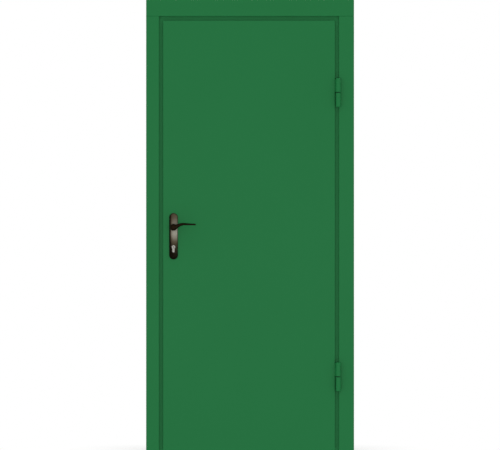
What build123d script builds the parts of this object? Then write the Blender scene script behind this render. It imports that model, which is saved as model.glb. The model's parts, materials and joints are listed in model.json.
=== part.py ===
from build123d import *
import os

# Sizes are in millimetres. X runs to the hinge side, minus Y to the outside, Z up.
# The origin lies on the floor, in the middle of the doorway and of the frame's depth.

# Leaf
leaf_width = 800
leaf_height = 2000
leaf_thickness = 58
floor_gap = 5.5
sheet = 1.5
bend = 2
flange_thickness = 4.5
flange_width = 26
flange_overlap = 14
cover_return = 20
fit_gap = 0.2

# Frame
tube_width = 50
tube_depth = 60
tube_wall = 2
tube_corner = 3
side_groove = 18.5
head_groove = 20.5
lock_casing_width = 60
hinge_casing_width = 70
head_casing_height = 78
seal_width = 9
seal_height = 3.5
seal_inset = 2
moving_gap = 5
anchor_dia = 13
anchor_low = 220
anchor_drop = 180
anchor_pitch = 500

# Hinges
barrel_dia = 23
barrel_offset = 14.5
barrel_clear = 1
knuckle_length = 65
knuckle_split = 4
knuckle_round = 4
upper_hinge_inset = 335
lower_hinge_inset = 344
tail_thickness = 3
tail_length = 2
foot_width = 5
pin_dia = 12
pin_reach = 45
pin_end_gap = 4
pin_clear = 0.08
bearing_dia = 15
bearing_clear = 0.3

# Lock and its strike
lock_centres = 92
forend_width = 24
forend_height = 235
forend_thickness = 3
forend_round = 4
forend_gap = 0.3
case_depth = 40
case_height = 175
case_thickness = 16
case_wall = 1.5
bolt_thickness = 11
bolt_clear = 0.4
latch_height = 20
latch_rise = 26
latch_length = 18
dead_bolt_height = 34
dead_bolt_drop = 44
strike_height = 190
strike_thickness = 2
strike_gap = 3

# Handle set
handle_inset = 49
handle_height = 1044
plate_height = 215
plate_width = 40
plate_thickness = 8
plate_round = 5
plate_wall = 2.5
plate_drop = 42
boss_dia = 27
journal_dia = 18
journal_clear = 0.1
journal_depth = 6
collar_dia = 28
collar_length = 5
collar_gap = 0.5
neck_dia = 20
head_dia = 32
crown_depth = 12.5
arm_standoff = 48
tip_round = 1.5
spindle_side = 8
spindle_clear = 0.1
spindle_reach = 28
passage_dia = 22

# Sections of the lever's arm: distance from the axis, rise, half height, half depth
arm_sections = [
    (0, 0, 12.5, 11),
    (16, 3, 11, 10.5),
    (30, 10.5, 7.6, 9.5),
    (45, 14.2, 5.8, 9),
    (62, 14.2, 4.7, 8.5),
    (82, 13.2, 3.9, 7),
    (104, 12.3, 3.2, 5),
]

# Key cylinder
cylinder_head_dia = 17
cylinder_stem_width = 10
cylinder_total = 33
cylinder_proud = 3
cylinder_clear = 0.5
plug_dia = 13
plug_clear = 0.05
plug_length = 10
plug_proud = 0.8
keyway_width = 2.4
keyway_height = 8.5
keyway_depth = 9

# Derived places
leaf_x = leaf_width / 2
leaf_bottom = floor_gap
leaf_top = floor_gap + leaf_height
leaf_mid_z = (leaf_bottom + leaf_top) / 2
reveal_x = leaf_x - flange_overlap
head_reveal = leaf_top - flange_overlap
threshold_top = leaf_bottom + flange_overlap
tube_outer_x = reveal_x + tube_width
head_tube_top = head_reveal + tube_width
tube_front = -tube_depth / 2
flange_back = tube_front - seal_height - moving_gap
leaf_front = flange_back - flange_thickness
leaf_back = leaf_front + leaf_thickness
leaf_mid_y = (leaf_front + leaf_back) / 2
body_width = leaf_width - 2 * flange_width
body_height = leaf_height - 2 * flange_width
body_x = body_width / 2
body_depth = leaf_back - flange_back
casing_depth = tube_front - leaf_front
casing_inner_x = leaf_x + side_groove
casing_lower_z = leaf_top + head_groove
casing_left = -casing_inner_x - lock_casing_width
casing_right = casing_inner_x + hinge_casing_width
barrel_r = barrel_dia / 2
axis_x = leaf_x + barrel_offset
axis_y = leaf_front - barrel_r - barrel_clear
upper_hinge_z = leaf_top - upper_hinge_inset
lower_hinge_z = leaf_bottom + lower_hinge_inset
anchor_high = leaf_height - anchor_drop
anchor_heights = [anchor_low, anchor_low + anchor_pitch, anchor_high - anchor_pitch, anchor_high]
handle_x = -leaf_x + handle_inset
cylinder_z = handle_height - lock_centres
plate_z = handle_height - plate_drop
lock_z = (handle_height + cylinder_z) / 2
latch_z = handle_height + latch_rise
dead_bolt_z = handle_height - dead_bolt_drop
forend_inner_x = -body_x + forend_thickness
stem_reach = cylinder_total - cylinder_head_dia / 2 - cylinder_stem_width / 2
arm_y = leaf_front - arm_standoff

os.makedirs("parts", exist_ok=True)


def facing(y):
    """A plane parallel to the door's face at depth y; sketches on it grow to the outside."""
    return Plane.XZ.offset(-y)


def level(z):
    """A level plane at height z; sketches on it grow upwards."""
    return Plane.XY.offset(z)


def cylinder_outline(clear):
    """The outline of the key cylinder, wider by a clearance, on the sketch plane in use."""
    with Locations((handle_x, cylinder_z)):
        Circle(cylinder_head_dia / 2 + clear)
    with Locations((handle_x, cylinder_z - stem_reach / 2)):
        SlotCenterToCenter(stem_reach, cylinder_stem_width + 2 * clear, rotation=90)


# Casing: shallow folded covers around the doorway, open to the wall
with BuildPart() as head_casing:
    with BuildSketch(facing(tube_front)):
        with Locations(((casing_left + casing_right) / 2, casing_lower_z + head_casing_height / 2)):
            Rectangle(casing_right - casing_left, head_casing_height)
    extrude(amount=casing_depth)
    fillet(head_casing.faces().sort_by(Axis.Y)[0].edges(), radius=bend)
    with BuildSketch(facing(tube_front)):
        with Locations(((casing_left + casing_right) / 2, casing_lower_z + head_casing_height / 2)):
            Rectangle(casing_right - casing_left - 2 * sheet, head_casing_height - 2 * sheet)
    extrude(amount=casing_depth - sheet, mode=Mode.SUBTRACT)
head_casing.part.label = "head_casing"
export_step(head_casing.part, "parts/head_casing.step")

with BuildPart() as lock_casing:
    with BuildSketch(facing(tube_front)):
        with Locations((casing_left + lock_casing_width / 2, casing_lower_z / 2)):
            Rectangle(lock_casing_width, casing_lower_z)
    extrude(amount=casing_depth)
    fillet(lock_casing.faces().sort_by(Axis.Y)[0].edges(), radius=bend)
    with BuildSketch(facing(tube_front)):
        with Locations((casing_left + lock_casing_width / 2, casing_lower_z / 2)):
            Rectangle(lock_casing_width - 2 * sheet, casing_lower_z - 2 * sheet)
    extrude(amount=casing_depth - sheet, mode=Mode.SUBTRACT)
lock_casing.part.label = "lock_casing"
export_step(lock_casing.part, "parts/lock_casing.step")

with BuildPart() as hinge_casing:
    with BuildSketch(facing(tube_front)):
        with Locations((casing_right - hinge_casing_width / 2, casing_lower_z / 2)):
            Rectangle(hinge_casing_width, casing_lower_z)
    extrude(amount=casing_depth)
    fillet(hinge_casing.faces().sort_by(Axis.Y)[0].edges(), radius=bend)
    with BuildSketch(facing(tube_front)):
        with Locations((casing_right - hinge_casing_width / 2, casing_lower_z / 2)):
            Rectangle(hinge_casing_width - 2 * sheet, casing_lower_z - 2 * sheet)
    extrude(amount=casing_depth - sheet, mode=Mode.SUBTRACT)
hinge_casing.part.label = "hinge_casing"
export_step(hinge_casing.part, "parts/hinge_casing.step")

# Tube frame: two jambs and a head, mitred at the upper corners
hinge_mitre = Plane(origin=(reveal_x, 0, head_reveal), z_dir=(-1, 0, 1))
lock_mitre = Plane(origin=(-reveal_x, 0, head_reveal), z_dir=(1, 0, 1))

with BuildPart() as hinge_jamb:
    with BuildSketch(level(0)):
        with Locations((reveal_x + tube_width / 2, 0)):
            RectangleRounded(tube_width, tube_depth, tube_corner)
            RectangleRounded(
                tube_width - 2 * tube_wall,
                tube_depth - 2 * tube_wall,
                tube_corner - tube_wall,
                mode=Mode.SUBTRACT,
            )
    extrude(amount=head_tube_top)
    split(bisect_by=hinge_mitre, keep=Keep.BOTTOM)
    with BuildSketch(Plane.YZ.offset(reveal_x)):
        with Locations(*[(0, z) for z in anchor_heights]):
            Circle(anchor_dia / 2)
    extrude(amount=tube_width, mode=Mode.SUBTRACT)
hinge_jamb.part.label = "hinge_jamb"
export_step(hinge_jamb.part, "parts/hinge_jamb.step")

with BuildPart() as lock_jamb:
    with BuildSketch(level(0)):
        with Locations((-reveal_x - tube_width / 2, 0)):
            RectangleRounded(tube_width, tube_depth, tube_corner)
            RectangleRounded(
                tube_width - 2 * tube_wall,
                tube_depth - 2 * tube_wall,
                tube_corner - tube_wall,
                mode=Mode.SUBTRACT,
            )
    extrude(amount=head_tube_top)
    split(bisect_by=lock_mitre, keep=Keep.BOTTOM)
    with BuildSketch(Plane.YZ.offset(-reveal_x)):
        with Locations(*[(0, z) for z in anchor_heights]):
            Circle(anchor_dia / 2)
    extrude(amount=-tube_width, mode=Mode.SUBTRACT)
    with BuildSketch(Plane.YZ.offset(-reveal_x)):
        with Locations((leaf_mid_y, latch_z)):
            Rectangle(bolt_thickness + 2 * strike_gap, latch_height + 2 * strike_gap)
        with Locations((leaf_mid_y, dead_bolt_z)):
            Rectangle(bolt_thickness + 2 * strike_gap, dead_bolt_height + 2 * strike_gap)
    extrude(amount=-tube_wall, mode=Mode.SUBTRACT)
lock_jamb.part.label = "lock_jamb"
export_step(lock_jamb.part, "parts/lock_jamb.step")

with BuildPart() as head_tube:
    with BuildSketch(Plane.YZ.offset(-tube_outer_x)):
        with Locations((0, head_reveal + tube_width / 2)):
            RectangleRounded(tube_depth, tube_width, tube_corner)
            RectangleRounded(
                tube_depth - 2 * tube_wall,
                tube_width - 2 * tube_wall,
                tube_corner - tube_wall,
                mode=Mode.SUBTRACT,
            )
    extrude(amount=2 * tube_outer_x)
    split(bisect_by=hinge_mitre, keep=Keep.TOP)
    split(bisect_by=lock_mitre, keep=Keep.TOP)
head_tube.part.label = "head_tube"
export_step(head_tube.part, "parts/head_tube.step")

# Threshold: a low tube between the jambs, covered by the leaf's lower edge
with BuildPart() as threshold:
    with BuildSketch(Plane.YZ.offset(-reveal_x)):
        with Locations((0, threshold_top / 2)):
            RectangleRounded(tube_depth, threshold_top, tube_corner)
            RectangleRounded(
                tube_depth - 2 * tube_wall,
                threshold_top - 2 * tube_wall,
                tube_corner - tube_wall,
                mode=Mode.SUBTRACT,
            )
    extrude(amount=2 * reveal_x)
threshold.part.label = "threshold"
export_step(threshold.part, "parts/threshold.step")

# Seal: half-round rubber strips on the frame's front face, behind the leaf's rim
seal_x = reveal_x + seal_inset
seal_low = threshold_top - seal_inset
seal_high = head_reveal + seal_inset
seal_side_length = seal_high - seal_low
seal_head_length = 2 * (seal_x + seal_width)

with BuildPart() as seal_hinge_side:
    with BuildSketch(level(seal_low)):
        with BuildLine():
            base = Line((seal_x, tube_front), (seal_x + seal_width, tube_front))
            ThreePointArc(base @ 1, (seal_x + seal_width / 2, tube_front - seal_height), base @ 0)
        make_face()
    extrude(amount=seal_side_length)
seal_hinge_side.part.label = "seal_hinge_side"
export_step(seal_hinge_side.part, "parts/seal_hinge_side.step")

with BuildPart() as seal_lock_side:
    add(seal_hinge_side.part.mirror(Plane.YZ))
seal_lock_side.part.label = "seal_lock_side"
export_step(seal_lock_side.part, "parts/seal_lock_side.step")

with BuildPart() as seal_head:
    with BuildSketch(Plane.YZ.offset(-seal_head_length / 2)):
        with BuildLine():
            base = Line((tube_front, seal_high), (tube_front, seal_high + seal_width))
            ThreePointArc(base @ 1, (tube_front - seal_height, seal_high + seal_width / 2), base @ 0)
        make_face()
    extrude(amount=seal_head_length)
seal_head.part.label = "seal_head"
export_step(seal_head.part, "parts/seal_head.step")

with BuildPart() as seal_threshold:
    with BuildSketch(Plane.YZ.offset(-reveal_x)):
        with BuildLine():
            base = Line((tube_front, seal_low - seal_width), (tube_front, seal_low))
            ThreePointArc(base @ 1, (tube_front - seal_height, seal_low - seal_width / 2), base @ 0)
        make_face()
    extrude(amount=2 * reveal_x)
seal_threshold.part.label = "seal_threshold"
export_step(seal_threshold.part, "parts/seal_threshold.step")

# Strike plate on the lock jamb, with pockets for latch and bolt
with BuildPart() as strike_plate:
    with BuildSketch(Plane.YZ.offset(-reveal_x)):
        with Locations((leaf_mid_y, lock_z + (latch_z - lock_z) / 2)):
            RectangleRounded(forend_width, strike_height, forend_round)
        with Locations((leaf_mid_y, latch_z)):
            Rectangle(
                bolt_thickness + strike_gap,
                latch_height + strike_gap,
                mode=Mode.SUBTRACT,
            )
        with Locations((leaf_mid_y, dead_bolt_z)):
            Rectangle(
                bolt_thickness + strike_gap,
                dead_bolt_height + strike_gap,
                mode=Mode.SUBTRACT,
            )
    extrude(amount=strike_thickness)
strike_plate.part.label = "strike_plate"
export_step(strike_plate.part, "parts/strike_plate.step")

# Outer skin: one folded tray with a hollow rim that laps over the frame
with BuildPart() as outer_skin:
    with BuildSketch(facing(flange_back)):
        with Locations((0, leaf_mid_z)):
            Rectangle(leaf_width, leaf_height)
    extrude(amount=flange_thickness)
    fillet(outer_skin.faces().sort_by(Axis.Y)[0].edges(), radius=bend)
    fillet(outer_skin.faces().sort_by(Axis.Y)[-1].edges(), radius=bend)
    with BuildSketch(facing(leaf_back)):
        with Locations((0, leaf_mid_z)):
            Rectangle(body_width, body_height)
    extrude(amount=body_depth)
    with BuildSketch(facing(flange_back - sheet)):
        with Locations((0, leaf_mid_z)):
            Rectangle(leaf_width - 2 * sheet, leaf_height - 2 * sheet)
    extrude(amount=flange_thickness - 2 * sheet, mode=Mode.SUBTRACT)
    with BuildSketch(facing(leaf_back)):
        with Locations((0, leaf_mid_z)):
            Rectangle(body_width - 2 * sheet, body_height - 2 * sheet)
    extrude(amount=body_depth + sheet, mode=Mode.SUBTRACT)
    with BuildSketch(Plane.YZ.offset(-body_x)):
        with Locations((leaf_mid_y, lock_z)):
            RectangleRounded(
                forend_width + 2 * forend_gap,
                forend_height + 2 * forend_gap,
                forend_round + forend_gap,
            )
    extrude(amount=sheet, mode=Mode.SUBTRACT)
    with BuildSketch(facing(leaf_front + sheet)):
        with Locations((handle_x, handle_height)):
            Circle(passage_dia / 2)
        cylinder_outline(2 * cylinder_clear)
    extrude(amount=sheet, mode=Mode.SUBTRACT)
outer_skin.part.label = "outer_skin"
export_step(outer_skin.part, "parts/outer_skin.step")

# Inner skin: a folded cover set into the back of the tray
cover_width = body_width - 2 * sheet - 2 * fit_gap
cover_height = body_height - 2 * sheet - 2 * fit_gap

with BuildPart() as inner_skin:
    with BuildSketch(facing(leaf_back)):
        with Locations((0, leaf_mid_z)):
            Rectangle(cover_width, cover_height)
    extrude(amount=cover_return)
    fillet(inner_skin.faces().sort_by(Axis.Y)[-1].edges(), radius=bend)
    with BuildSketch(facing(leaf_back - sheet)):
        with Locations((0, leaf_mid_z)):
            Rectangle(cover_width - 2 * sheet, cover_height - 2 * sheet)
    extrude(amount=cover_return, mode=Mode.SUBTRACT)
    with BuildSketch(Plane.YZ.offset(-cover_width / 2)):
        with Locations((leaf_mid_y, lock_z)):
            RectangleRounded(
                forend_width + 2 * forend_gap,
                forend_height + 2 * forend_gap,
                forend_round + forend_gap,
            )
    extrude(amount=sheet, mode=Mode.SUBTRACT)
    with BuildSketch(facing(leaf_back)):
        with Locations((handle_x, handle_height)):
            Circle(passage_dia / 2)
        cylinder_outline(2 * cylinder_clear)
    extrude(amount=sheet, mode=Mode.SUBTRACT)
inner_skin.part.label = "inner_skin"
export_step(inner_skin.part, "parts/inner_skin.step")

# Mortise lock: forend flush in the leaf's edge, case behind it, latch and bolt drawn in
with BuildPart() as lock_forend:
    with BuildSketch(Plane.YZ.offset(-body_x)):
        with Locations((leaf_mid_y, lock_z)):
            RectangleRounded(forend_width, forend_height, forend_round)
        with Locations((leaf_mid_y, latch_z)):
            Rectangle(
                bolt_thickness + 2 * bolt_clear,
                latch_height + 2 * bolt_clear,
                mode=Mode.SUBTRACT,
            )
        with Locations((leaf_mid_y, dead_bolt_z)):
            Rectangle(
                bolt_thickness + 2 * bolt_clear,
                dead_bolt_height + 2 * bolt_clear,
                mode=Mode.SUBTRACT,
            )
    extrude(amount=forend_thickness)
lock_forend.part.label = "lock_forend"
export_step(lock_forend.part, "parts/lock_forend.step")

with BuildPart() as lock_case:
    with BuildSketch(Plane.YZ.offset(forend_inner_x)):
        with Locations((leaf_mid_y, lock_z)):
            Rectangle(case_thickness, case_height)
    extrude(amount=case_depth)
    with BuildSketch(Plane.YZ.offset(forend_inner_x)):
        with Locations((leaf_mid_y, lock_z)):
            Rectangle(case_thickness - 2 * case_wall, case_height - 2 * case_wall)
    extrude(amount=case_depth - case_wall, mode=Mode.SUBTRACT)
    with BuildSketch(facing(leaf_mid_y + case_thickness / 2)):
        with Locations((handle_x, handle_height)):
            Circle(passage_dia / 2)
        cylinder_outline(2 * cylinder_clear)
    extrude(amount=case_thickness, mode=Mode.SUBTRACT)
lock_case.part.label = "lock_case"
export_step(lock_case.part, "parts/lock_case.step")

with BuildPart() as latch_bolt:
    with BuildSketch(level(latch_z - latch_height / 2)):
        with BuildLine():
            Polyline(
                (-body_x, leaf_mid_y + bolt_thickness / 2),
                (-body_x + latch_length, leaf_mid_y + bolt_thickness / 2),
                (-body_x + latch_length, leaf_mid_y - bolt_thickness / 2),
                (-body_x + bolt_thickness / 2, leaf_mid_y - bolt_thickness / 2),
                close=True,
            )
        make_face()
    extrude(amount=latch_height)
latch_bolt.part.label = "latch_bolt"
export_step(latch_bolt.part, "parts/latch_bolt.step")

with BuildPart() as dead_bolt:
    with BuildSketch(Plane.YZ.offset(-body_x)):
        with Locations((leaf_mid_y, dead_bolt_z)):
            Rectangle(bolt_thickness, dead_bolt_height)
    extrude(amount=latch_length)
dead_bolt.part.label = "dead_bolt"
export_step(dead_bolt.part, "parts/dead_bolt.step")

# Backplates: long rounded plates, hollow behind, with a boss for the lever
with BuildPart() as outer_backplate:
    with BuildSketch(facing(leaf_front)):
        with Locations((handle_x, plate_z)):
            SlotOverall(plate_height, plate_width, rotation=90)
    extrude(amount=plate_thickness)
    fillet(outer_backplate.faces().sort_by(Axis.Y)[0].edges(), radius=plate_round)
    with BuildSketch(facing(leaf_front)):
        with Locations((handle_x, plate_z)):
            SlotOverall(plate_height - 2 * plate_wall, plate_width - 2 * plate_wall, rotation=90)
        with Locations((handle_x, handle_height)):
            Circle(boss_dia / 2, mode=Mode.SUBTRACT)
    extrude(amount=plate_thickness - 2 * plate_wall, mode=Mode.SUBTRACT)
    with BuildSketch(facing(leaf_front)):
        with Locations((handle_x, handle_height)):
            Circle(journal_dia / 2 + journal_clear)
        cylinder_outline(cylinder_clear)
    extrude(amount=plate_thickness, mode=Mode.SUBTRACT)
outer_backplate.part.label = "outer_backplate"
export_step(outer_backplate.part, "parts/outer_backplate.step")

leaf_middle = Plane.XZ.offset(-leaf_mid_y)

with BuildPart() as inner_backplate:
    add(outer_backplate.part.mirror(leaf_middle))
inner_backplate.part.label = "inner_backplate"
export_step(inner_backplate.part, "parts/inner_backplate.step")

# Key cylinder through both plates, with a slotted plug at each end
cylinder_front = leaf_front - plate_thickness - cylinder_proud
cylinder_length = 2 * (leaf_mid_y - cylinder_front)

with BuildPart() as key_cylinder:
    with BuildSketch(facing(leaf_mid_y + cylinder_length / 2)):
        cylinder_outline(0)
    extrude(amount=cylinder_length)
    with BuildSketch(facing(cylinder_front + plug_length)):
        with Locations((handle_x, cylinder_z)):
            Circle(plug_dia / 2 + plug_clear)
    extrude(amount=plug_length, mode=Mode.SUBTRACT)
    with BuildSketch(facing(cylinder_front + cylinder_length)):
        with Locations((handle_x, cylinder_z)):
            Circle(plug_dia / 2 + plug_clear)
    extrude(amount=plug_length, mode=Mode.SUBTRACT)
key_cylinder.part.label = "key_cylinder"
export_step(key_cylinder.part, "parts/key_cylinder.step")

with BuildPart() as outer_plug:
    with BuildSketch(facing(cylinder_front + plug_length)):
        with Locations((handle_x, cylinder_z)):
            Circle(plug_dia / 2)
    extrude(amount=plug_length + plug_proud)
    with BuildSketch(facing(cylinder_front - plug_proud)):
        with Locations((handle_x, cylinder_z)):
            Rectangle(keyway_width, keyway_height)
    extrude(amount=-keyway_depth, mode=Mode.SUBTRACT)
outer_plug.part.label = "outer_plug"
export_step(outer_plug.part, "parts/outer_plug.step")

with BuildPart() as inner_plug:
    add(outer_plug.part.mirror(leaf_middle))
inner_plug.part.label = "inner_plug"
export_step(inner_plug.part, "parts/inner_plug.step")

# Lever: a turned neck and head, and a curved arm drawn through oval sections
collar_back = leaf_front - plate_thickness - collar_gap
collar_front = collar_back - collar_length
journal_back = leaf_front - plate_thickness + journal_depth
neck_y = (collar_front + arm_y) / 2

with BuildPart() as outer_lever:
    for reach, rise, half_height, half_depth in arm_sections:
        section = Plane(
            origin=(handle_x + reach, arm_y, handle_height + rise),
            x_dir=(0, 1, 0),
            z_dir=(1, 0, 0),
        )
        with BuildSketch(section):
            Ellipse(half_depth, half_height)
    loft()
    fillet(outer_lever.faces().sort_by(Axis.X)[-1].edges(), radius=tip_round)
    with BuildSketch(Plane(origin=(handle_x, 0, handle_height), x_dir=(1, 0, 0), z_dir=(0, 0, 1))):
        with BuildLine():
            shank = Polyline(
                (0, arm_y),
                (0, journal_back),
                (journal_dia / 2, journal_back),
                (journal_dia / 2, collar_back),
                (collar_dia / 2, collar_back),
                (collar_dia / 2, collar_front),
            )
            waist = Spline(
                shank @ 1,
                (neck_dia / 2, neck_y),
                (head_dia / 2, arm_y),
                tangents=[(-1, -1), (0, -1)],
            )
            crown = Spline(waist @ 1, (0, arm_y - crown_depth), tangents=[(0, -1), (-1, 0)])
            Line(crown @ 1, shank @ 0)
        make_face()
    revolve(axis=Axis((handle_x, 0, handle_height), (0, 1, 0)))
    with BuildSketch(facing(journal_back)):
        with Locations((handle_x, handle_height)):
            Rectangle(spindle_side + 2 * spindle_clear, spindle_side + 2 * spindle_clear)
    extrude(amount=spindle_reach, mode=Mode.SUBTRACT)
outer_lever.part.label = "outer_lever"
export_step(outer_lever.part, "parts/outer_lever.step")

with BuildPart() as inner_lever:
    add(outer_lever.part.mirror(leaf_middle))
inner_lever.part.label = "inner_lever"
export_step(inner_lever.part, "parts/inner_lever.step")

spindle_front = journal_back - spindle_reach + spindle_clear
spindle_length = 2 * (leaf_mid_y - spindle_front)

with BuildPart() as spindle:
    with BuildSketch(facing(leaf_mid_y + spindle_length / 2)):
        with Locations((handle_x, handle_height)):
            Rectangle(spindle_side, spindle_side)
    extrude(amount=spindle_length)
spindle.part.label = "spindle"
export_step(spindle.part, "parts/spindle.step")

# Hinges: drop-shaped knuckles, the upper one on the leaf's edge, the lower one on the casing
def leaf_knuckle(centre_z):
    """The upper knuckle of one hinge: a blind barrel whose tail meets the leaf's edge."""
    with BuildPart() as knuckle:
        with BuildSketch(level(centre_z + knuckle_split / 2)):
            with Locations((axis_x, axis_y)):
                Circle(barrel_r)
        extrude(amount=knuckle_length)
        fillet(knuckle.faces().sort_by(Axis.Z)[-1].edges(), radius=knuckle_round)
        with BuildSketch(level(centre_z + knuckle_split / 2)):
            with Locations((axis_x, axis_y)):
                Circle(barrel_r)
            with Locations((leaf_x + tail_length / 2, leaf_front + flange_thickness / 2)):
                Rectangle(tail_length, tail_thickness)
            make_hull()
        extrude(amount=knuckle_length - knuckle_round)
        with BuildSketch(level(centre_z + knuckle_split / 2)):
            with Locations((axis_x, axis_y)):
                Circle(pin_dia / 2 + pin_clear)
        extrude(amount=pin_reach + pin_end_gap, mode=Mode.SUBTRACT)
    return knuckle.part


def frame_knuckle(centre_z):
    """The lower knuckle of one hinge: a blind barrel that stands on the casing by its foot."""
    foot_x = casing_inner_x + bend + foot_width / 2
    with BuildPart() as knuckle:
        with BuildSketch(level(centre_z - knuckle_split / 2)):
            with Locations((axis_x, axis_y)):
                Circle(barrel_r)
        extrude(amount=-knuckle_length)
        fillet(knuckle.faces().sort_by(Axis.Z)[0].edges(), radius=knuckle_round)
        with BuildSketch(level(centre_z - knuckle_split / 2)):
            with Locations((axis_x, axis_y)):
                Circle(barrel_r)
            with Locations((foot_x, leaf_front - tail_length / 2)):
                Rectangle(foot_width, tail_length)
            make_hull()
        extrude(amount=-(knuckle_length - knuckle_round))
        with BuildSketch(level(centre_z - knuckle_split / 2)):
            with Locations((axis_x, axis_y)):
                Circle(pin_dia / 2)
        extrude(amount=-pin_reach, mode=Mode.SUBTRACT)
    return knuckle.part


def hinge_pin(centre_z):
    """The pin, seated in the lower knuckle and running in the upper one."""
    with BuildPart() as pin:
        with BuildSketch(level(centre_z - knuckle_split / 2 - pin_reach)):
            with Locations((axis_x, axis_y)):
                Circle(pin_dia / 2)
        extrude(amount=2 * pin_reach + knuckle_split)
    return pin.part


def hinge_bearing(centre_z):
    """The thrust ring in the split between the two knuckles."""
    with BuildPart() as ring:
        with BuildSketch(level(centre_z - knuckle_split / 2)):
            with Locations((axis_x, axis_y)):
                Circle(bearing_dia / 2)
                Circle(pin_dia / 2, mode=Mode.SUBTRACT)
        extrude(amount=knuckle_split - bearing_clear)
    return ring.part


for place, centre in (("upper", upper_hinge_z), ("lower", lower_hinge_z)):
    for piece, shape in (
        ("leaf_knuckle", leaf_knuckle(centre)),
        ("frame_knuckle", frame_knuckle(centre)),
        ("pin", hinge_pin(centre)),
        ("bearing", hinge_bearing(centre)),
    ):
        shape.label = place + "_" + piece
        export_step(shape, "parts/" + place + "_" + piece + ".step")
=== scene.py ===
# %% [markdown]
# A painted steel entrance door, closed, seen straight from the front. The shapes come from the packed
# CAD model. This lesson adds what a paint shop and a fitter add: the green powder coat, the antique
# bronze handle set, the nickel key cylinder, screws and weld seams, and then a plain white studio.

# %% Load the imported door
import json
import math

import bmesh
import bpy
from mathutils import Matrix, Vector


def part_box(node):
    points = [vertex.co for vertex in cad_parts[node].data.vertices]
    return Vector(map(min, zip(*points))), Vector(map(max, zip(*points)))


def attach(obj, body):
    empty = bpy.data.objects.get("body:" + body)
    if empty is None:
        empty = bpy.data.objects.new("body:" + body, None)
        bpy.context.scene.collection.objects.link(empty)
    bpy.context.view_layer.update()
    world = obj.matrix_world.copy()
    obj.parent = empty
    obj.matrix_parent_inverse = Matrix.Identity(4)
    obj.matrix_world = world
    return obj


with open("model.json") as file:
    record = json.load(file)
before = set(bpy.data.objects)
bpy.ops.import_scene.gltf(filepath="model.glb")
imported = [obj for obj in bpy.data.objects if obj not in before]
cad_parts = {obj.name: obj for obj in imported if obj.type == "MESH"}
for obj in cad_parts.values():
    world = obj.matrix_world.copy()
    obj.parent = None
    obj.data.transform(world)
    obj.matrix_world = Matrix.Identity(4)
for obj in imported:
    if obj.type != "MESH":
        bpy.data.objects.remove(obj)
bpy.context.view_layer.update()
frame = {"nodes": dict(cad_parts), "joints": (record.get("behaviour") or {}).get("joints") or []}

# %% [markdown]
# Every finish below is a small sum of noises and gradients. Adding Math nodes by hand hides the idea, so
# one class wraps a socket: plain Python sums on it add the nodes, and its node() method makes any other
# node. The way is the same for all finishes, which keeps each of them down to a few readable lines.

# %% A wire: one value in a material
class Wire:
    """An output socket of a material, ready for plain sums."""

    def __init__(self, tree, socket=None):
        self.tree = tree
        self.socket = socket

    def node(self, kind, sockets=None, out=0, stops=None, **settings):
        """Make a node: settings first, then its sockets' values or links. Gives one of its outputs."""
        made = self.tree.nodes.new(kind)
        for key, value in settings.items():
            setattr(made, key, value)
        if stops:
            ramp = made.color_ramp.elements
            while len(ramp) < len(stops):
                ramp.new(1)
            for element, (place, colour) in zip(ramp, stops):
                element.position = place
                element.color = colour
        for key, value in (sockets or {}).items():
            if isinstance(value, Wire):
                self.tree.links.new(value.socket, made.inputs[key])
            else:
                made.inputs[key].default_value = value
        return Wire(self.tree, made.outputs[out] if made.outputs else None)

    def sum(self, operation, first, second=0.0):
        return self.node("ShaderNodeMath", {0: first, 1: second}, operation=operation)

    def __add__(self, other):
        return self.sum("ADD", self, other)

    def __radd__(self, other):
        return self.sum("ADD", other, self)

    def __sub__(self, other):
        return self.sum("SUBTRACT", self, other)

    def __rsub__(self, other):
        return self.sum("SUBTRACT", other, self)

    def __mul__(self, other):
        return self.sum("MULTIPLY", self, other)

    def __rmul__(self, other):
        return self.sum("MULTIPLY", other, self)

    def __truediv__(self, other):
        return self.sum("DIVIDE", self, other)

    def __rtruediv__(self, other):
        return self.sum("DIVIDE", other, self)

    def __pow__(self, other):
        return self.sum("POWER", self, other)

    def __abs__(self):
        return self.sum("ABSOLUTE", self)

    def above(self, limit):
        """1 where the value is over a limit, and 0 elsewhere."""
        return self.sum("GREATER_THAN", self, limit)

    def at_least(self, limit):
        return self.sum("MAXIMUM", self, limit)

    def clip(self):
        """Keep a value between 0 and 1."""
        return self.node("ShaderNodeClamp", {"Value": self})

    def mix(self, first, second):
        """A colour between two colours, by this value."""
        sockets = {0: self, 6: (*first, 1), 7: (*second, 1)}
        return self.node("ShaderNodeMix", sockets, out=2, data_type="RGBA")


print("a wire takes + - * / ** abs, above, at_least, clip and mix")

# %% [markdown]
# A finish starts from the material's own shader and from the place on the object, in metres. Noise at
# that place gives every texture here. A picture texture would need the door unwrapped first, while the
# place is simply there, runs on from one piece to the next, and can be baked later.

# %% Start a finish
def new_finish(name):
    """A new material: itself, its shader, and the place on the object."""
    material = bpy.data.materials.new(name)
    material.use_nodes = True
    shader = material.node_tree.nodes["Principled BSDF"]
    place = Wire(material.node_tree).node("ShaderNodeTexCoord", out="Object")
    return material, shader, place


def noise(place, scale, detail=3.0):
    return place.node("ShaderNodeTexNoise", {"Vector": place, "Scale": scale, "Detail": detail})


def feed(shader, name, wire):
    wire.tree.links.new(wire.socket, shader.inputs[name])


def bump(shader, height, strength, depth):
    sockets = {"Strength": strength, "Distance": depth, "Height": height}
    feed(shader, "Normal", height.node("ShaderNodeBump", sockets))


def dress(material, *names):
    for name in names:
        piece = frame["nodes"][name]
        piece.data.materials.clear()
        piece.data.materials.append(material)
    print(material.name, "on", len(names), "nodes")


# %% [markdown]
# The green is a baked powder coat. Seen close it is slightly dimpled, like orange peel, because the powder
# melts and levels in the oven; seen from far it is even. So the colour hardly moves, and the dimples are a
# fine noise in the bump. A sculpted mesh could hold them too, but at a far higher cost in triangles.

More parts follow.
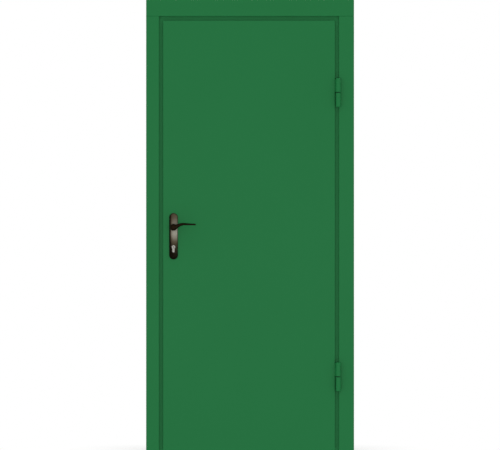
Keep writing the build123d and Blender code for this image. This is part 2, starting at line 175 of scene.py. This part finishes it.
# %% Green powder coat
green, shader, place = new_finish("green_powder_coat")
clouds = noise(place, scale=2.5, detail=2.0)
grain = noise(place, scale=420.0, detail=2.0)
tone = (clouds * 0.7 + grain * 0.3).clip()
feed(shader, "Base Color", tone.mix((0.0095, 0.1415, 0.0384), (0.0110, 0.1535, 0.0429)))
feed(shader, "Roughness", 0.40 + 0.10 * noise(place, scale=60.0))
shader.inputs["Specular IOR Level"].default_value = 0.10
bump(shader, grain, strength=0.10, depth=0.0004)

hinge_halves = [f"{hinge}_{half}_knuckle" for hinge in ("upper", "lower") for half in ("leaf", "frame")]
casings = ["head_casing", "lock_casing", "hinge_casing"]
tubes = ["head_tube", "lock_jamb", "hinge_jamb", "threshold"]
dress(green, *casings, *tubes, "outer_skin", "inner_skin", *hinge_halves)

# %% [markdown]
# Antique bronze is dark from its bath and then rubbed by hand, so the ends and edges stay brown. The pale
# middle of the plate is partly that rub and partly painted sheen, a reflection of the light put into the
# colour.
# Two soft hills do it: one along the plate's height, which reaches further up than down, and one across its
# width, whose top lies on the lever's side. A ramp turns their product into the tones of the metal and its
# painted sheen. A painted mask would do too, but then the plate has to be unwrapped first.

# %% Where the backplate is rubbed and where its sheen is painted
def split(place):
    """The place's X, Y and Z."""
    parts = place.node("ShaderNodeSeparateXYZ", {0: place})
    return [Wire(place.tree, socket) for socket in parts.socket.node.outputs]


plate_low, plate_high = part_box("outer_backplate")
plate_x = (plate_low[0] + plate_high[0]) / 2
rubbed_sheen_to_lever = 0.0070
rubbed_sheen_x = plate_x + rubbed_sheen_to_lever
rubbed_sheen_half_width, rubbed_sheen_shoulder = 0.0225, 3.0
rubbed_sheen_z = 1.017
reach_down, reach_up = 0.030, 0.056

bronze, shader, place = new_finish("antique_bronze")
x, _, z = split(place)
rise = z - rubbed_sheen_z
steps = rise / (reach_down + (reach_up - reach_down) * rise.above(0.0))
along = 1 / (1 + steps * steps)
across = abs(x - rubbed_sheen_x) / rubbed_sheen_half_width
# This mask is both the rub of hands and painted sheen: a reflection drawn into the plate's pale middle.
rubbed_and_sheen = (along * (1 - across ** rubbed_sheen_shoulder)).clip()
print("rubbed around x", round(rubbed_sheen_x, 4), "z", rubbed_sheen_z)

# %% [markdown]
# Rubbing also leaves fine upright scratches, and the bath leaves small specks. Both are noises: the first
# is squeezed across and drawn out upwards by scaling the place before the noise reads it. A wave texture
# draws lines too, but evenly spaced ones, which no hand leaves.

# %% Antique bronze of the backplates
def stretch(place, by):
    return place.node("ShaderNodeVectorMath", {0: place, 1: by}, operation="MULTIPLY")


scratch_run = (900.0, 900.0, 30.0)
scratches = noise(stretch(place, scratch_run), scale=1.0)
specks = noise(place, scale=160.0, detail=4.0)
held_back, uneven = 0.06, 0.10
rubbed_and_sheen = rubbed_and_sheen * (1 + held_back) - held_back
worn_and_sheen = (rubbed_and_sheen + (scratches - 0.5) * uneven + (specks - 0.5) * uneven).clip()
# The pale top tones of the ramp are painted sheen as well as bare rubbed metal.
tones = [
    (0.00, (0.0055, 0.0042, 0.0024, 1)),
    (0.28, (0.062, 0.049, 0.031, 1)),
    (0.60, (0.139, 0.126, 0.099, 1)),
    (1.00, (0.184, 0.175, 0.144, 1)),
]
feed(shader, "Base Color", worn_and_sheen.node("ShaderNodeValToRGB", {"Fac": worn_and_sheen}, stops=tones))
feed(shader, "Roughness", 0.50 - 0.14 * worn_and_sheen + 0.08 * specks)
shader.inputs["Metallic"].default_value = 1.0
bump(shader, scratches, strength=0.06, depth=0.0002)
dress(bronze, "outer_backplate", "inner_backplate")

# %% [markdown]
# The levers carry the same bronze but are never rubbed: nearly black brown, with small changes in gloss
# where hands and oil have been. A dark metallic base with a broad, soft shine reads as that metal, while
# a black paint would lose the warm edge that the light draws along the arm.

# %% Dark bronze of the levers
dark, shader, place = new_finish("oiled_bronze")
specks = noise(place, scale=220.0, detail=4.0)
clouds = noise(place, scale=45.0, detail=2.0)
tone = specks * 0.5 + clouds * 0.5
feed(shader, "Base Color", tone.mix((0.006, 0.0035, 0.0015), (0.018, 0.011, 0.006)))
feed(shader, "Roughness", 0.34 + 0.16 * specks)
shader.inputs["Metallic"].default_value = 1.0
bump(shader, specks, strength=0.05, depth=0.0002)
dress(dark, "outer_lever", "inner_lever")

# %% [markdown]
# The key cylinder is satin nickel, brushed across its face. The brush lines are a noise again, this time
# squeezed along the height, and they move the colour, the roughness and the bump together. An anisotropic
# shine would streak the light in the same way, but it can't be baked, and these lines can.

# %% Satin nickel of the cylinder
nickel, shader, place = new_finish("satin_nickel")
brush_run = (60.0, 60.0, 2200.0)
lines = noise(stretch(place, brush_run), scale=1.0, detail=2.0)
feed(shader, "Base Color", lines.mix((0.158, 0.155, 0.137), (0.240, 0.236, 0.214)))
feed(shader, "Roughness", 0.30 + 0.14 * lines)
shader.inputs["Metallic"].default_value = 1.0
bump(shader, lines, strength=0.05, depth=0.0001)
dress(nickel, "key_cylinder", "outer_plug", "inner_plug")

# %% [markdown]
# The lock and its strike are zinc-plated steel. Zinc sets in small crystals, so the metal is patchy: the
# cells of a Voronoi texture give the patches, and a fine noise breaks their edges up. One plain grey would
# do from afar, but the forend is seen from close by when the leaf stands open.

# %% Zinc plate of the lock
zinc, shader, place = new_finish("zinc_plate")
crystals = place.node("ShaderNodeTexVoronoi", {"Vector": place, "Scale": 130.0})
fine = noise(place, scale=700.0, detail=2.0)
tone = (crystals * 0.6 + fine * 0.4).clip()
feed(shader, "Base Color", tone.mix((0.36, 0.37, 0.39), (0.56, 0.57, 0.59)))
feed(shader, "Roughness", 0.36 + 0.16 * fine)
shader.inputs["Metallic"].default_value = 1.0
dress(zinc, "strike_plate", "lock_forend", "lock_case", "latch_bolt", "dead_bolt", "spindle")

# %% [markdown]
# Pins and thrust rings of the hinges show only as a dark line between the knuckles. Their colour is painted
# shade: nearly black, matt and slightly green, like the shadowed gap between the green knuckles. Bright
# steel would be right for a new hinge, but it would draw a pale line where the gap is dark.

# %% Steel of the hinge pins, painted dark as the gap's shade
shaded_pin_steel, shader, place = new_finish("pin_steel_painted_shade")
turning_run = (40.0, 40.0, 2600.0)
rings = noise(stretch(place, turning_run), scale=1.0, detail=2.0)
# The near-black green is painted shade of the gap between the knuckles.
feed(shader, "Base Color", rings.mix((0.0010, 0.0080, 0.0022), (0.0030, 0.0200, 0.0065)))
feed(shader, "Roughness", 0.60 + 0.20 * rings)
shader.inputs["Specular IOR Level"].default_value = 0.04
dress(shaded_pin_steel, "upper_pin", "lower_pin", "upper_bearing", "lower_bearing")

# %% [markdown]
# The seal is extruded black rubber. It is matt, dusted a little grey, and its skin is faintly rough. The
# dust is a soft noise in colour and roughness, and a much finer one in the bump gives the skin. A flat
# black would swallow the strip's round shape, and these small changes bring it out.

# %% Black rubber of the seal
rubber, shader, place = new_finish("black_rubber")
dust = noise(place, scale=90.0, detail=4.0)
skin = noise(place, scale=900.0, detail=2.0)
feed(shader, "Base Color", dust.mix((0.010, 0.010, 0.010), (0.030, 0.030, 0.029)))
feed(shader, "Roughness", 0.70 + 0.20 * dust)
bump(shader, skin, strength=0.15, depth=0.0003)
dress(rubber, "seal_head", "seal_lock_side", "seal_hinge_side", "seal_threshold")

# %% [markdown]
# New pieces are shaped as a bmesh and then made an object. The object stays at the origin and its place
# is in its mesh, as with the CAD pieces, so that a pattern on the place runs on over it. Moving the object
# would be as easy, but then the pattern would start anew on every screw.

# %% From a bmesh to a piece
def made_object(mesh, name, material):
    """The finished bmesh as an object at the origin."""
    bmesh.ops.recalc_face_normals(mesh, faces=mesh.faces)
    data = bpy.data.meshes.new(name)
    mesh.to_mesh(data)
    mesh.free()
    data.materials.append(material)
    piece = bpy.data.objects.new(name, data)
    bpy.context.scene.collection.objects.link(piece)
    return piece


print("a piece's place is in its mesh, its object is at the origin")

# %% [markdown]
# The first new piece is a slotted screw head: a low cone with a bevelled rim, whose top face is cut in
# three so that the middle strip can be pushed down. A boolean would cut the slot too, but leaves a less
# even mesh. Taper, rounding and depth of the slot are shares of the head's own size, so one function makes
# the large and the small screws.

# %% A slotted screw head
head_taper = 0.86
rim_share = 0.35
slot_share = 0.45
looks_up = 0.9


def screw_head(radius, height, slot):
    """A slotted head that looks up from the origin."""
    mesh = bmesh.new()
    cone = {"radius1": radius, "radius2": radius * head_taper, "depth": height}
    bmesh.ops.create_cone(mesh, cap_ends=True, segments=28, **cone)
    rim = [e for e in mesh.edges if all(v.co.z > 0 for v in e.verts)]
    rounding = {"offset": height * rim_share, "segments": 2, "profile": 0.5}
    bmesh.ops.bevel(mesh, geom=rim, affect="EDGES", material=-1, **rounding)
    for side in (-1, 1):
        everything = mesh.verts[:] + mesh.edges[:] + mesh.faces[:]
        cut = (0, side * slot / 2, 0)
        bmesh.ops.bisect_plane(mesh, geom=everything, plane_co=cut, plane_no=(0, 1, 0))
    top = [f for f in mesh.faces if f.normal.z > looks_up]
    strip = [f for f in top if abs(f.calc_center_median().y) < slot / 2]
    sunk = bmesh.ops.extrude_face_region(mesh, geom=strip)["geom"]
    floor_of_slot = [v for v in sunk if isinstance(v, bmesh.types.BMVert)]
    bmesh.ops.translate(mesh, vec=(0, 0, -height * slot_share), verts=floor_of_slot)
    bmesh.ops.delete(mesh, geom=strip, context="FACES")
    return mesh


print("a screw head narrows to", head_taper, "and its slot takes", slot_share, "of its height")

# %% [markdown]
# Four screws hold the two backplates, near their round ends. They carry the plate's own bronze, with its
# rubbed pattern and painted sheen, so only rim and slot give them away. A screw is built looking up, then
# turned by a matrix to look out of its plate; a rotated object would do the same, but its place has to be
# in the mesh.

# %% Screws of the backplates
def drive(name, mesh, seat, facing, turn, material):
    """Set a screw on its seat, facing a way and turned as the fitter left it."""
    aim = Vector(facing).to_track_quat("Z", "Y").to_matrix().to_4x4()
    stand = Matrix.Translation(Vector(seat)) @ aim @ Matrix.Rotation(turn, 4, "Z")
    bmesh.ops.transform(mesh, matrix=stand, verts=mesh.verts)
    return made_object(mesh, name, material)


plate_screw = {"radius": 0.0036, "height": 0.0016, "slot": 0.0010}
plate_faces = {"outer": (plate_low[1], -1), "inner": (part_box("inner_backplate")[1][1], 1)}
end_inset = 0.021
plate_turn = 0.6
screw_heights = {"lower": plate_low[2] + end_inset, "upper": plate_high[2] - end_inset}
for end, height in screw_heights.items():
    for side, (depth, way) in plate_faces.items():
        seat = (plate_x, depth, height)
        name = f"{side}_plate_screw_{end}"
        head = drive(name, screw_head(**plate_screw), seat, (0, way, 0), plate_turn, bronze)
        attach(head, "leaf")
print("plate screws at", {end: round(height, 3) for end, height in screw_heights.items()})

# %% [markdown]
# The same heads, in zinc, hold the forend in the leaf's edge and the strike on the jamb. A longer screw
# goes through the forend into the stem of the key cylinder and keeps it in place, so its head sits at
# the stem's height. All of these show only while the leaf stands open. One list with a row for each screw
# and one loop set them, which is easier to check than five blocks of the same lines.

# %% Screws of forend, cylinder and strike
edge_screw = {"radius": 0.0036, "height": 0.0012, "slot": 0.0010}
edge_inset = 0.012
stem_height = 0.0115
forend_turn, cylinder_turn, strike_turn = 0.3, 1.1, 0.9
forend_low, forend_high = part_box("lock_forend")
strike_low, strike_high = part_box("strike_plate")
edge_y = (forend_low[1] + forend_high[1]) / 2
stem_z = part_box("key_cylinder")[0][2] + stem_height
edge_screws = [
    ("forend_screw_0", "leaf", forend_low[0], forend_low[2] + edge_inset, -1, forend_turn),
    ("forend_screw_1", "leaf", forend_low[0], forend_high[2] - edge_inset, -1, forend_turn),
    ("cylinder_screw", "leaf", forend_low[0], stem_z, -1, cylinder_turn),
    ("strike_screw_0", "frame", strike_high[0], strike_low[2] + edge_inset, 1, strike_turn),
    ("strike_screw_1", "frame", strike_high[0], strike_high[2] - edge_inset, 1, strike_turn),
]
for name, body, across, height, way, turn in edge_screws:
    head = drive(name, screw_head(**edge_screw), (across, edge_y, height), (way, 0, 0), turn, zinc)
    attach(head, body)
print("screws in the edge at", [round(row[3], 3) for row in edge_screws])

# %% [markdown]
# A small slotted screw under each lever's collar clamps it on the square spindle. It turns with the lever,
# so it rides on the handle, and it looks down, where rain stays out of it. A real one sits in a threaded
# hole. Only its head shows, so the head is set on the collar and the lever is left whole.

# %% Clamp screws of the levers
clamp_screw = {"radius": 0.0017, "height": 0.0010, "slot": 0.0006}
from_plate = 0.003
clamp_turn = 0.4
handle_axis = next(j for j in frame["joints"] if j["name"] == "lever_turn")["pos_m"]
collar_radius = 0.014
for side, (depth, way) in plate_faces.items():
    seat = (handle_axis[0], depth + way * from_plate, handle_axis[2] - collar_radius)
    head = drive(f"{side}_clamp_screw", screw_head(**clamp_screw), seat, (0, 0, -1), clamp_turn, dark)
    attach(head, "handle")
    print(head.name, [round(c, 4) for c in seat])

# %% [markdown]
# The hinge knuckles carry no screws, so they are welded on, and the seam is painted over with the door.
# A bead is a thin rod laid in the corner, cut into short rings, every other ring drawn in a little: that
# gives the ripples a welder leaves. It runs along the tail on the leaf and along the foot on the casing.
# Ripples in the bump alone would vanish at the seam's edge, where they are seen best.

# %% Weld seams of the hinges
pinch = 0.78


def weld_seam(name, corner, low, high, radius, ripples=14):
    """A rippled, painted rod that stands in a corner between two heights."""
    mesh = bmesh.new()
    length = high - low
    rod = {"radius1": radius, "radius2": radius, "depth": length}
    bmesh.ops.create_cone(mesh, cap_ends=True, segments=10, **rod)
    upright = [e for e in mesh.edges if abs(e.verts[0].co.z - e.verts[1].co.z) > radius]
    bmesh.ops.subdivide_edges(mesh, edges=upright, cuts=2 * ripples - 1)
    pitch = length / (2 * ripples)
    drawn_in = [v for v in mesh.verts if round((v.co.z + length / 2) / pitch) % 2 == 0]
    bmesh.ops.scale(mesh, vec=(pinch, pinch, 1.0), verts=drawn_in)
    bmesh.ops.translate(mesh, vec=(*corner, (low + high) / 2), verts=mesh.verts)
    piece = made_object(mesh, name, green)
    return piece


leaf_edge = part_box("outer_skin")[1][0]
leaf_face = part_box("outer_skin")[0][1]
casing_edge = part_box("hinge_casing")[0][0]
behind_face, in_from_edge = 0.0012, 0.0075
tail_corner = (leaf_edge, leaf_face + behind_face)
foot_corner = (casing_edge + in_from_edge, leaf_face)
near_end, far_end = 0.006, 0.010
for hinge in ("upper", "lower"):
    low, high = (corner[2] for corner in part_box(f"{hinge}_leaf_knuckle"))
    seam = weld_seam(f"{hinge}_leaf_seam", tail_corner, low + near_end, high - far_end, radius=0.0014)
    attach(seam, "leaf")
    low, high = (corner[2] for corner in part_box(f"{hinge}_frame_knuckle"))
    seam = weld_seam(f"{hinge}_frame_seam", foot_corner, low + far_end, high - near_end, radius=0.0018)
    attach(seam, "frame")
print("weld seams at x", round(leaf_edge, 4), round(casing_edge, 4))

# %% [markdown]
# The studio: a plain white floor and white surroundings. What the camera, shiny metal and glass see is
# plain white, while the light that reaches the paint is set apart, so the white costs the green nothing.
# A photographer does the same with a lit paper roll far behind the door.

# %% White surroundings
def seen_by(wire, *rays):
    """1 for these kinds of rays, and 0 for all others."""
    path = wire.node("ShaderNodeLightPath").socket.node.outputs
    return sum(Wire(wire.tree, path[f"Is {ray} Ray"]) for ray in rays).clip()


white_rays = ("Camera", "Glossy", "Transmission")
fill_light = 0.88
world = bpy.data.worlds.new("studio")
bpy.context.scene.world = world
world.use_nodes = True
world.node_tree.nodes.clear()
root = Wire(world.node_tree)
white = root.node("ShaderNodeBackground", {"Color": (1, 1, 1, 1), "Strength": 1.0})
fill = root.node("ShaderNodeBackground", {"Color": (1, 1, 1, 1), "Strength": fill_light})
seen = seen_by(root, *white_rays)
both = root.node("ShaderNodeMixShader", {0: seen, 1: fill, 2: white})
root.node("ShaderNodeOutputWorld", {"Surface": both})
print("white for the eye, fill light", fill_light)

# %% [markdown]
# The floor takes the door's shadow close by and fades to plain white further out, so no horizon shows.
# The fade follows the distance from the door's footprint, a rectangle, which two clipped sides give. Even
# close by only a share of the shadow is kept, because the photograph shows hardly any. For the light that
# strikes the paint, the floor glows as evenly as the surroundings, so the foot of the door isn't darker.
# A shadow catcher would do the same in a picture, but it needs a compositor to lay the white behind it.

# %% Floor
floor_reach = 12.0
mesh = bmesh.new()
bmesh.ops.create_grid(mesh, x_segments=1, y_segments=1, size=floor_reach)
pale, shader, place = new_finish("pale_floor")
floor = made_object(mesh, "floor", pale)

foot_x, foot_y = 0.49, 0.11
fade_start, fade_length = 0.02, 0.35
shadow_share = 0.45
x, y, _ = split(place)
off_x = (abs(x) - foot_x).at_least(0.0)
off_y = (abs(y) - foot_y).at_least(0.0)
far = (((off_x * off_x + off_y * off_y) ** 0.5 - fade_start) / fade_length).clip()
feed(shader, "Base Color", noise(place, scale=30.0).mix((0.94, 0.94, 0.94), (0.97, 0.97, 0.97)))
shader.inputs["Roughness"].default_value = 0.8
matt = Wire(place.tree, shader.outputs[0])
white = place.node("ShaderNodeEmission", {"Color": (1, 1, 1, 1), "Strength": 1.0})
bounce = place.node("ShaderNodeEmission", {"Color": (1, 1, 1, 1), "Strength": fill_light})
faded = place.node("ShaderNodeMixShader", {0: 1 - shadow_share * (1 - far), 1: matt, 2: white})
seen = seen_by(place, *white_rays)
surface = place.node("ShaderNodeMixShader", {0: seen, 1: bounce, 2: faded})
feed(place.tree.nodes["Material Output"], "Surface", surface)
print("floor fades to white", fade_start + fade_length, "m off the door")

# %% [markdown]
# The light is flat: most of it comes from the surroundings, so lever and hinges throw hardly any shadow.
# Two broad, weak lamps close to the camera's line lift the sunk strip beside the leaf, and a third hangs
# over the door. One more stands behind it for whoever walks round; from the front it adds nothing. A
# sun would need only one lamp, but it draws hard shadows.

# %% Lamps
door_middle = Vector((0.0, 0.0, 1.05))


def lamp(name, spot, size, power):
    """A round soft lamp that looks at the middle of the door."""
    light = bpy.data.lights.new(name, "AREA")
    light.shape = "DISK"
    light.size = size
    light.energy = power
    piece = bpy.data.objects.new(name, light)
    bpy.context.scene.collection.objects.link(piece)
    piece.location = spot
    aim = door_middle - Vector(spot)
    piece.rotation_euler = aim.to_track_quat("-Z", "Y").to_euler()
    print(name, spot, power, "W")


lamp("left_lamp", (-1.5, -6.7, 0.9), size=1.7, power=33)
lamp("right_lamp", (1.5, -6.7, 0.9), size=1.7, power=33)
lamp("top_lamp", (0.0, -3.0, 5.2), size=2.4, power=7)
lamp("rear_lamp", (1.6, 6.0, 2.6), size=2.4, power=35)

# %% [markdown]
# The photograph is square on and nearly without perspective, so the camera stands far off with a long
# lens, at the height of the picture's middle. The lens follows from the width that the picture takes in.
# An orthographic camera comes close too, but a far one still shows depth when someone walks round the door.

# %% Camera
reach = 15.0
view_width = 2.3255
middle_x, middle_z = 0.00465, 1.0545
camera = bpy.data.cameras.new("camera")
camera.sensor_width = 36.0
camera.lens = camera.sensor_width * reach / view_width
camera.clip_end = 100
eye = bpy.data.objects.new("camera", camera)
bpy.context.scene.collection.objects.link(eye)
eye.location = (middle_x, leaf_face - reach, middle_z)
eye.rotation_euler = (math.radians(90), 0, 0)
bpy.context.scene.camera = eye
bpy.context.scene.view_settings.view_transform = "Standard"
print("lens", round(camera.lens, 1), "mm")
